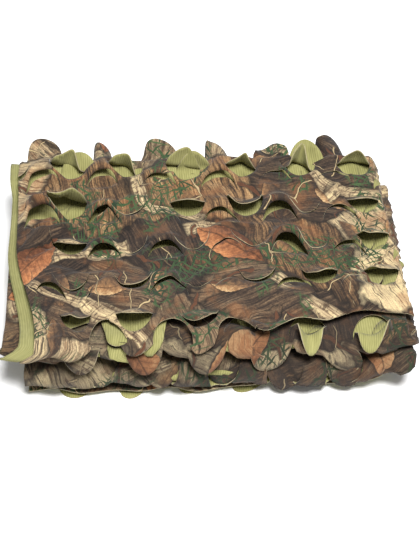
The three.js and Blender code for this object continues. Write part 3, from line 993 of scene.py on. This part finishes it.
def leaves(n, x, y, below, cell, share, tones, seed):
    """Generic pointed leaves of one size lying every way, each with its midrib, side veins and shadow."""
    (turn, lot, tint), dx, dy = n.cells(x / cell + seed, y / cell + 2 * seed, 0.5)
    along, across = turned(dx, dy, turn * FULL_CIRCLE)
    t = along / 0.40
    half = (1 - t * t) * (t * 0.3 + 1) * 0.165 + (along * 90 + across.size() * 30).sin() * 0.004
    inside = half - across.size()
    here = lot.rise(1 - share - 0.01, 1 - share + 0.01)
    shaded = n.mix(inside.rise(-0.035, 0.0) * here * 0.65, below, linear(44, 36, 30))
    vein_at = (along * 16 - across.size() * 13).fraction() - 0.5
    vein = vein_at.size().rise(0.1, 0.04)
    midrib = across.size().rise(0.010, 0.004)
    mottle = n.noise(x / 4.5 + seed, y / 4.5, 4, 0.6)
    glow = mottle * 0.55 + across * 1.3 + t * 0.12 + tint * 0.32
    leaf = n.ramp(glow, *tones)
    leaf = n.mix(vein * 0.35, leaf, linear(84, 56, 38))
    leaf = n.mix(midrib * 0.6, leaf, linear(70, 46, 32))
    return n.mix(inside.rise(0.0, 0.006) * here, shaded, leaf)


RUST_TONES = shades((0.22, 92, 58, 38), (0.42, 142, 96, 64), (0.60, 172, 124, 84), (0.80, 196, 160, 118))
LITTER_TONES = shades((0.22, 62, 52, 45), (0.42, 104, 82, 62), (0.60, 146, 114, 80), (0.80, 182, 158, 122))
GRASS_GREENS = linear(38, 58, 38), linear(72, 92, 58)


def twigs(n, x, y, below, cell, width, colour, seed, region):
    """Thin branching twigs with a darker lower side."""
    bent_x = x + (n.noise(x / 30 + seed, y / 30) - 0.5) * 22
    bent_y = y + (n.noise(x / 30, y / 30 + seed) - 0.5) * 22
    gap = n.cracks(bent_x / cell + seed, bent_y / (cell * 1.7))
    where = n.noise(x / 58 + seed, y / 58 + seed).rise(*region)
    thin = where * (n.noise(x / 11, y / 11 + seed) * 0.8 + 0.4)
    colour_here = n.mix(n.noise(x / 3, y / 3), colour, tuple(c * 0.6 for c in colour))
    seen = where.rise(0.3, 0.6)
    shade = (gap - thin * width * 2.1).rise(0.004, -0.004) * 0.6 * seen
    cover = (gap - thin * width).rise(0.003, -0.003) * seen
    return n.mix(cover, n.mix(shade, below, linear(48, 40, 34)), colour_here)


def blades(n, x, y, below, angle, seed, region, colour, tip):
    """One direction of thin crossing blades with pointed ends, inside the region."""
    along, across = turned(x, y, angle)
    across = across + (along / 24 + seed).sin() * 3.5 + (n.noise(x / 34 + seed, y / 34) - 0.5) * 16
    row = across / 6.5
    lot = n.chance(row.floor() + seed * 17)
    piece = along / 24 + lot * 7
    length = (piece.fraction() * 2 - 1).size()
    width = (1 - length) * 0.17
    mask = ((row.fraction() - 0.5).size() - width).rise(0.02, -0.02)
    some = n.chance(piece.floor() + row.floor() * 3.7).rise(0.38, 0.40)
    return n.mix(mask * some * region, below, n.mix(lot, colour, tip))


def print_colour(n, x, y):
    """The whole print, a generic woodland: bark, litter, trunks, twigs, grass and larger leaves, with painted
    shade along the two front folds.
    """
    colour = bark(n, x, y)
    colour = leaves(n, x, y, colour, cell=58, share=0.34, tones=LITTER_TONES, seed=3.7)
    colour = limbs(n, x, y, colour, angle=2.3, pitch=150, seed=4.4)
    colour = limbs(n, x, y, colour, angle=0.25, pitch=175, seed=7.9)
    colour = twigs(n, x, y, colour, 66, 0.022, linear(104, 70, 50), seed=5.1, region=(0.5, 0.56))
    grass_area = n.noise(x / 70 + 3.3, y / 70 + 8.1, 2).rise(0.52, 0.58)
    for step, angle in enumerate((0.35, 1.0, 1.6, 2.2, 2.75)):
        colour = blades(n, x, y, colour, angle, 1.3 + step, grass_area, *GRASS_GREENS)
    colour = twigs(n, x, y, colour, 44, 0.013, linear(186, 168, 132), seed=9.6, region=(0.53, 0.58))
    colour = leaves(n, x, y, colour, cell=104, share=0.5, tones=RUST_TONES, seed=8.2)
    # Painted shade: the print is darkened along the two front folds, where the front of the stack lies in
    # shade.
    deep = (y - 500).size().rise(62, 36) + (y - 985).size().rise(62, 36)
    colour = n.mix(deep * 0.5, colour, linear(44, 36, 30))
    grain = n.noise(x / 0.9, y / 0.9, 2, 0.6)
    colour = n.mix(0.36, colour, colour, "OVERLAY")
    grain_tone = n.ramp(grain, (0.3, (0.27, 0.27, 0.27)), (0.7, (0.68, 0.68, 0.68)))
    return n.mix(0.5, colour, grain_tone, "OVERLAY")


def cloth_material(name):
    material = bpy.data.materials.new(name)
    material.use_nodes = True
    shader = material.node_tree.nodes["Principled BSDF"]
    n = Nodes(material)
    n.fill(shader, Roughness=0.88, Specular_IOR_Level=0.22, Sheen_Weight=0.06, Sheen_Roughness=0.6)
    return material, n, shader


def add_bump(n, shader, height, distance, strength):
    node = n.add("ShaderNodeBump")
    n.fill(node, Distance=distance, Strength=strength, Height=height)
    n.tree.links.new(node.outputs["Normal"], shader.inputs["Normal"])


def weave(x, y, pitch):
    """Height of a plain weave."""
    return (x * (FULL_CIRCLE / pitch)).sin() * (y * (FULL_CIRCLE / pitch)).sin() * 0.5 + 0.5


def print_material():
    material, n, shader = cloth_material("camo_print")
    x, y = n.flat_place()
    n.fill(shader, Base_Color=print_colour(n, x, y))
    add_bump(n, shader, weave(x, y, WEAVE_PITCH) * 0.5 + n.noise(x / 2.2, y / 3.1, 3) * 0.5, 0.0004, 0.5)
    return material


PLAIN_GREENS = shades((0.2, 104, 102, 58), (0.5, 132, 129, 80), (0.8, 157, 153, 102))


def plain_material():
    """The unprinted green side, ribbed along the cloth."""
    material, n, shader = cloth_material("plain_green")
    x, y = n.flat_place()
    rib = ((x + (n.noise(x / 9, y / 30) - 0.5) * 1.6) * (FULL_CIRCLE / RIB_PITCH)).sin() * 0.5 + 0.5
    worn = n.noise(x / 21, y / 60, 3, 0.6)
    value = rib * 0.2 + worn * 0.45 + n.noise(x / 1.1, y / 9, 3, 0.6) * 0.35
    green = n.ramp(value, *PLAIN_GREENS)
    selvedge = x.rise(CLOTH_WIDTH - SELVEDGE - 5, CLOTH_WIDTH - SELVEDGE)
    green = n.mix(selvedge * 0.3, green, linear(104, 104, 70))
    n.fill(shader, Base_Color=green)
    add_bump(n, shader, rib * 0.7 + weave(x, y, WEAVE_PITCH) * 0.3, 0.0005, 0.5)
    return material


def edge_material():
    """The heat-cut edge, a little paler than both sides."""
    material, n, shader = cloth_material("cut_edge")
    x, y = n.flat_place()
    colour = n.mix(n.noise(x / 4, y / 4, 3), linear(112, 100, 76), linear(172, 162, 132))
    n.fill(shader, Base_Color=colour)
    return material


def floor_material():
    material, n, shader = cloth_material("floor_paper")
    place = n.add("ShaderNodeNewGeometry")
    x, y, _ = n.parts(Wire(n, place.outputs["Position"]))
    colour = n.mix(n.noise(x * 30, y * 30, 3), linear(244, 244, 244), linear(248, 248, 248))
    n.fill(shader, Base_Color=colour)
    return material


# -------- stage


def overhead_light():
    """One round light, above the photo's viewpoint."""
    light = bpy.data.lights.new("overhead", "AREA")
    light.shape = "DISK"
    light.size = 0.6
    light.energy = 54
    lamp = bpy.data.objects.new("overhead", light)
    lamp.location = (0.2, -0.62, 1.56)
    to_cloth = Vector((0, 0, 0.03)) - lamp.location
    lamp.rotation_euler = to_cloth.to_track_quat("-Z", "Y").to_euler()
    bpy.context.scene.collection.objects.link(lamp)


def studio():
    world = bpy.data.worlds.new("studio")
    world.use_nodes = True
    Nodes(world).fill(world.node_tree.nodes["Background"], Color=(1, 1, 1), Strength=0.36)
    bpy.context.scene.world = world
    overhead_light()
    bpy.ops.mesh.primitive_plane_add(size=6)
    floor = bpy.context.object
    floor.name = "floor"
    floor.data.materials.append(floor_material())


def camera():
    """The photo's viewpoint."""
    data = bpy.data.cameras.new("camera")
    data.lens = 76
    data.sensor_width = 36
    view = bpy.data.objects.new("camera", data)
    target = Vector((0.0019, 0.0060, 0.035))
    elevation, distance = math.radians(45), 1.125
    view.location = target + distance * Vector((0, -math.cos(elevation), math.sin(elevation)))
    view.rotation_euler = (math.pi / 2 - elevation, 0, 0)
    bpy.context.scene.collection.objects.link(view)
    bpy.context.scene.camera = view


bpy.context.scene.view_settings.view_transform = "Standard"
camera()
studio()
cloth = sheet_object()
for make in (print_material, plain_material, edge_material):
    cloth.data.materials.append(make())
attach(cloth, "root")
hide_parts("camo_cloth")
